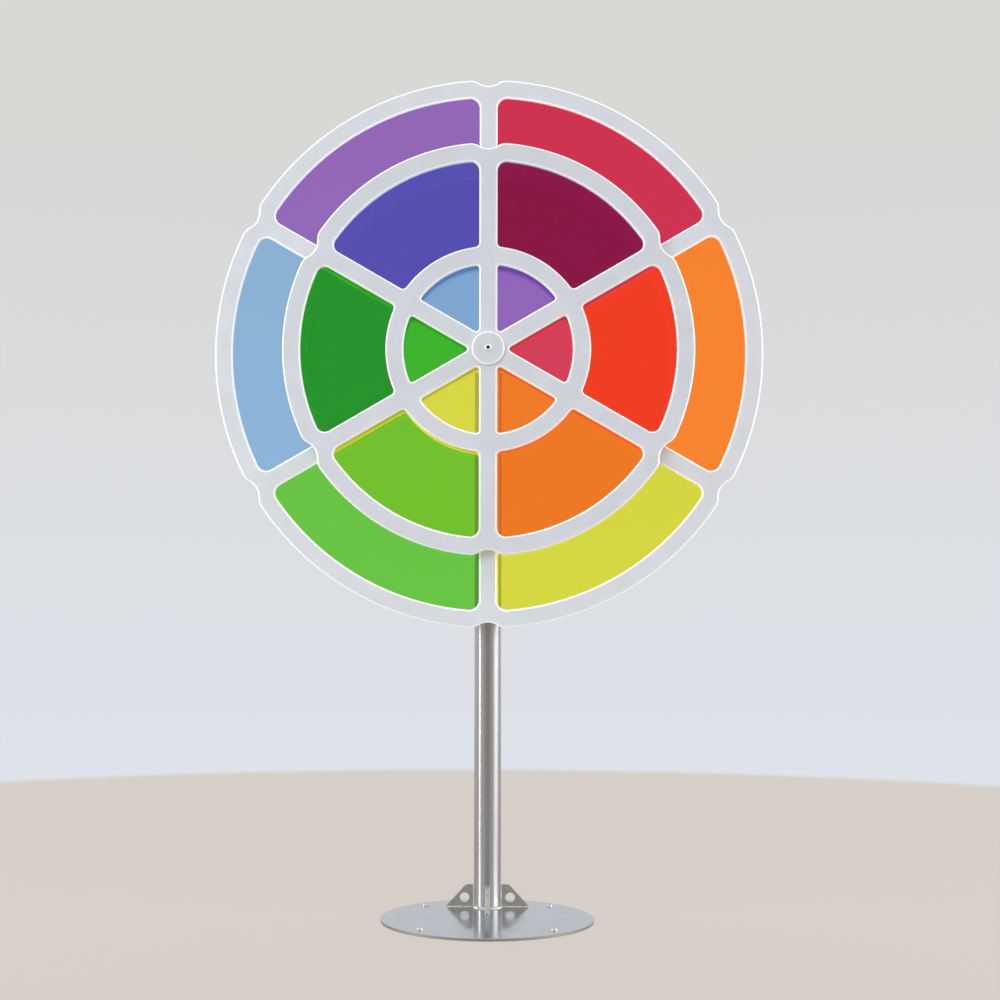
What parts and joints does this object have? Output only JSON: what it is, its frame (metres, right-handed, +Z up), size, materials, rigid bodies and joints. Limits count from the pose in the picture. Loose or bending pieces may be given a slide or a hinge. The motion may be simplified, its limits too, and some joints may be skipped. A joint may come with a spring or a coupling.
{
  "type": "colour mixing wheel on a floor stand",
  "caption": "Floor-standing colour-mixing wheel: coaxial white-framed discs of transparent coloured panes, turned by hand on one steel post with a round floor plate.",
  "frame": {"origin": "centre of the floor plate's underside, on the floor", "axes": "+Z up along the post; the discs face -Y and turn about a horizontal axle along Y; +X is to the viewer's right"},
  "size_m": [1.015, 0.385, 1.5424],
  "materials": {
    "white_sheet": "fine-grained solid white polyethylene sheet",
    "pane_red": "transparent red acrylic sheet",
    "pane_purple": "transparent purple acrylic sheet",
    "pane_light_blue": "transparent light blue acrylic sheet",
    "pane_green": "transparent green acrylic sheet",
    "pane_yellow": "transparent yellow acrylic sheet",
    "pane_orange": "transparent orange acrylic sheet",
    "plate_steel": "stainless sheet, satin, clearly reflecting",
    "tube_steel": "stainless tube, brushed along its length",
    "gusset_steel": "stainless plate, cut and dull",
    "weld_metal": "bright rippled weld",
    "turned_steel": "turned stainless bar",
    "bright_screws": "bright stainless screws",
    "turned_alloy": "turned alloy",
    "bush_polymer": "natural bearing polymer",
    "dark_plastic": "moulded end cap"
  },
  "bodies": {
    "stand": {"floor_plate": "plate_steel", "post": "tube_steel", "post_end_cap": "dark_plastic", "gusset_left": "gusset_steel", "gusset_right": "gusset_steel", "gusset_front": "gusset_steel", "gusset_rear": "gusset_steel", "weld_beads": "weld_metal", "axle": "turned_steel", "front_saddle": "turned_alloy", "rear_saddle": "turned_alloy", "rear_washer": "turned_steel", "rear_nut": "bright_screws", "thrust_washer": "turned_steel", "hub_spacer": "turned_alloy", "hub_cap": "white_sheet", "cap_screw": "bright_screws"},
    "front_disc": {"front_disc_front_frame": "white_sheet", "front_disc_rear_frame": "white_sheet", "front_disc_frame_screws": "bright_screws", "front_disc_hub": "turned_alloy", "front_disc_hub_screws": "bright_screws", "front_disc_outer_bush": "bush_polymer", "front_disc_inner_bush": "bush_polymer", "front_disc_pane_red": "pane_red", "front_disc_pane_purple": "pane_purple", "front_disc_pane_light_blue": "pane_light_blue", "front_disc_pane_green": "pane_green", "front_disc_pane_yellow": "pane_yellow", "front_disc_pane_orange": "pane_orange"},
    "back_disc": {"back_disc_front_frame": "white_sheet", "back_disc_rear_frame": "white_sheet", "back_disc_frame_screws": "bright_screws", "back_disc_hub": "turned_alloy", "back_disc_hub_screws": "bright_screws", "back_disc_outer_bush": "bush_polymer", "back_disc_inner_bush": "bush_polymer", "back_disc_pane_red": "pane_red", "back_disc_pane_purple": "pane_purple", "back_disc_pane_light_blue": "pane_light_blue", "back_disc_pane_green": "pane_green", "back_disc_pane_yellow": "pane_yellow", "back_disc_pane_orange": "pane_orange"}
  },
  "joints": [
    {"name": "front_disc_spin", "type": "hinge", "parent": "stand", "child": "front_disc", "pos_m": [0, 0.0125, 1.036], "axis": [0, -1, 0], "continuous": true},
    {"name": "back_disc_spin", "type": "hinge", "parent": "stand", "child": "back_disc", "pos_m": [0, 0.0665, 1.036], "axis": [0, -1, 0], "continuous": true}
  ]
}
